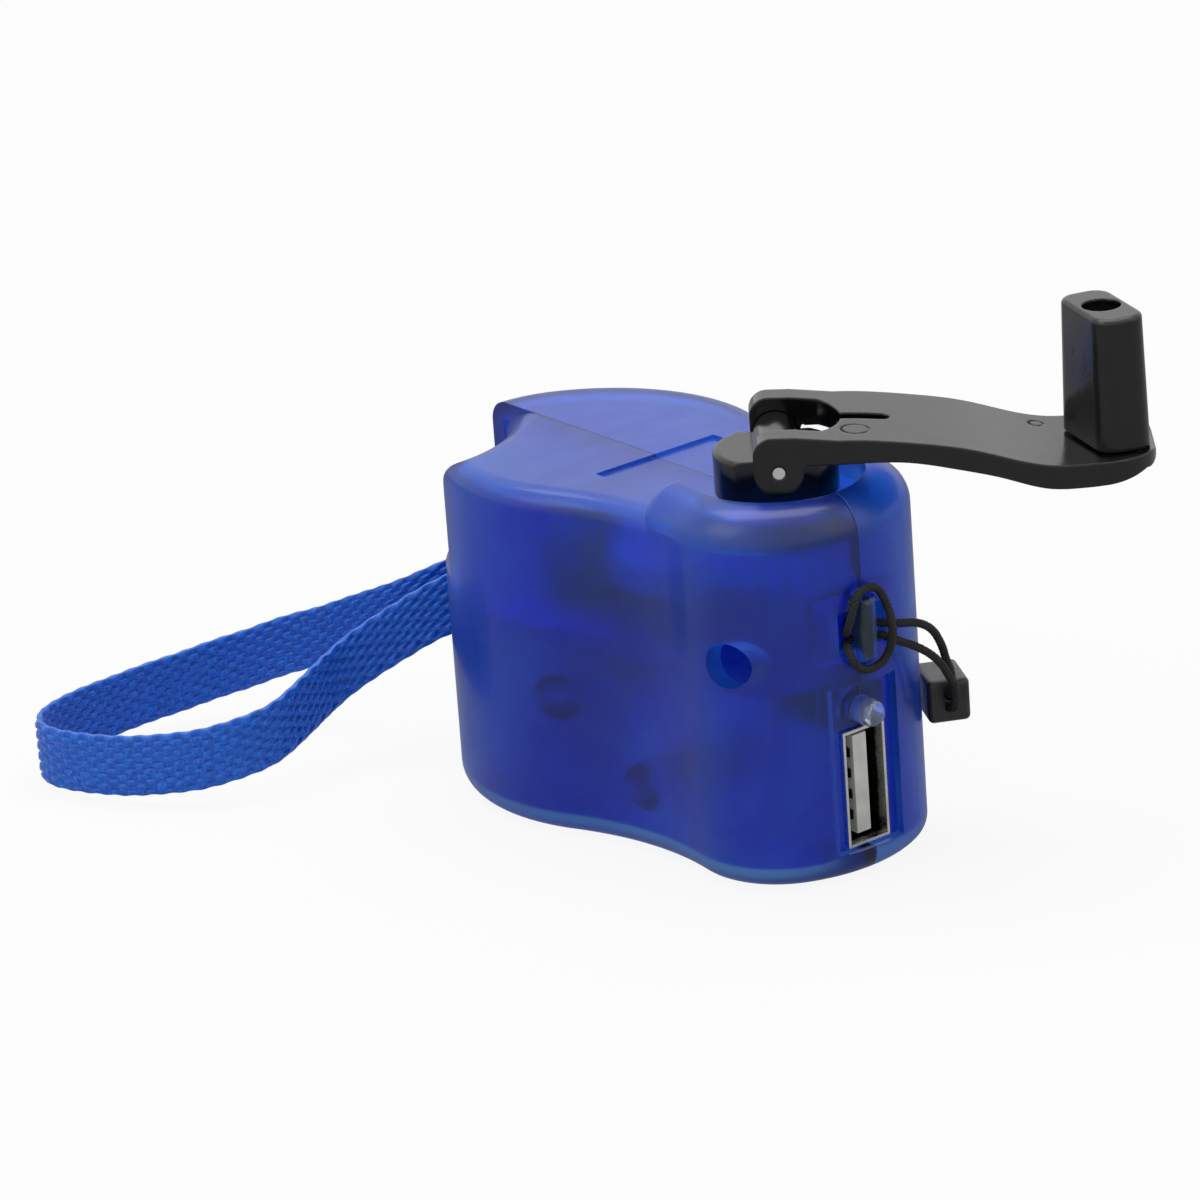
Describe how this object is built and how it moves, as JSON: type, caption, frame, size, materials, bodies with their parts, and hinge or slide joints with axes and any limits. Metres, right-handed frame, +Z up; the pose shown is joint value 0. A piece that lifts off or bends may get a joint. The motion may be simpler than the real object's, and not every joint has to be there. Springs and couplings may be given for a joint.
{
  "type": "hand crank phone charger",
  "caption": "Pocket hand crank charger in a translucent blue bean-shaped housing, with a folding black crank, a USB socket, a lamp, a tethered dust plug and a wrist strap.",
  "frame": {"origin": "on the flat base, under the crank's axis of rotation", "axes": "+Z up along the crank shaft, +X from the rear lobe to the nose with the USB socket, +Y to the far shell; the seam is the plane y = 0"},
  "size_m": [0.1099, 0.0809, 0.058],
  "materials": {
    "shell_blue": "satin",
    "crank_black": "polished",
    "gear_white": "satin",
    "gear_black": "satin",
    "deck_blue": "satin",
    "steel": "satin",
    "nickel": "polished",
    "brass": "polished",
    "socket_grey": "satin",
    "lamp_clear": "polished",
    "board_green": "satin",
    "strap_blue": "matte",
    "cord_black": "matte",
    "plug_black": "satin"
  },
  "bodies": {
    "housing": {"left_shell": "shell_blue", "right_shell": "shell_blue", "gear_deck": "deck_blue", "motor_can": "steel", "motor_cap": "socket_grey", "circuit_board": "board_green", "usb_shell": "nickel", "usb_tongue": "socket_grey", "led_lamp": "lamp_clear", "second_axle": "steel", "third_axle": "steel", "wrist_strap": "strap_blue", "tether_cord": "cord_black", "tether_plug": "plug_black", "shell_screw_one": "nickel", "shell_screw_two": "nickel", "usb_contact_1": "brass", "usb_contact_2": "brass", "usb_contact_3": "brass", "usb_contact_4": "brass"},
    "crank": {"crank_hub": "crank_black", "crank_shaft": "steel", "drive_gear": "gear_white", "hinge_pin": "nickel"},
    "arm": {"crank_arm": "crank_black", "knob_screw": "nickel"},
    "knob": {"crank_knob": "crank_black"},
    "second_gear_body": {"second_gear": "gear_white"},
    "third_gear_body": {"third_gear": "gear_black"},
    "rotor": {"motor_shaft": "steel", "motor_pinion": "brass"}
  },
  "joints": [
    {"name": "crank_spin", "type": "hinge", "parent": "housing", "child": "crank", "pos_m": [0, 0, 0.04], "axis": [0, 0, 1], "continuous": true},
    {"name": "arm_fold", "type": "hinge", "parent": "crank", "child": "arm", "pos_m": [0.00011, 0.00013, 0.04463], "axis": [0.7837, -0.6211, 0], "range_deg": [0, 160]},
    {"name": "knob_spin", "type": "hinge", "parent": "arm", "child": "knob", "pos_m": [0.02162, 0.02727, 0.05], "axis": [0, 0, 1], "continuous": true},
    {"name": "second_gear_spin", "type": "hinge", "parent": "housing", "child": "second_gear_body", "pos_m": [-0.01298, 0, 0.03], "axis": [0, 0, 1], "continuous": true},
    {"name": "third_gear_spin", "type": "hinge", "parent": "housing", "child": "third_gear_body", "pos_m": [-0.02564, 0, 0.027], "axis": [0, 0, 1], "continuous": true},
    {"name": "rotor_spin", "type": "hinge", "parent": "housing", "child": "rotor", "pos_m": [-0.03766, 0.00099, 0.02], "axis": [0, 0, 1], "continuous": true}
  ],
  "couplings": [
    {"joint": "second_gear_spin", "follows": "crank_spin", "ratio": -2.4},
    {"joint": "third_gear_spin", "follows": "crank_spin", "ratio": 6},
    {"joint": "rotor_spin", "follows": "crank_spin", "ratio": -18}
  ]
}
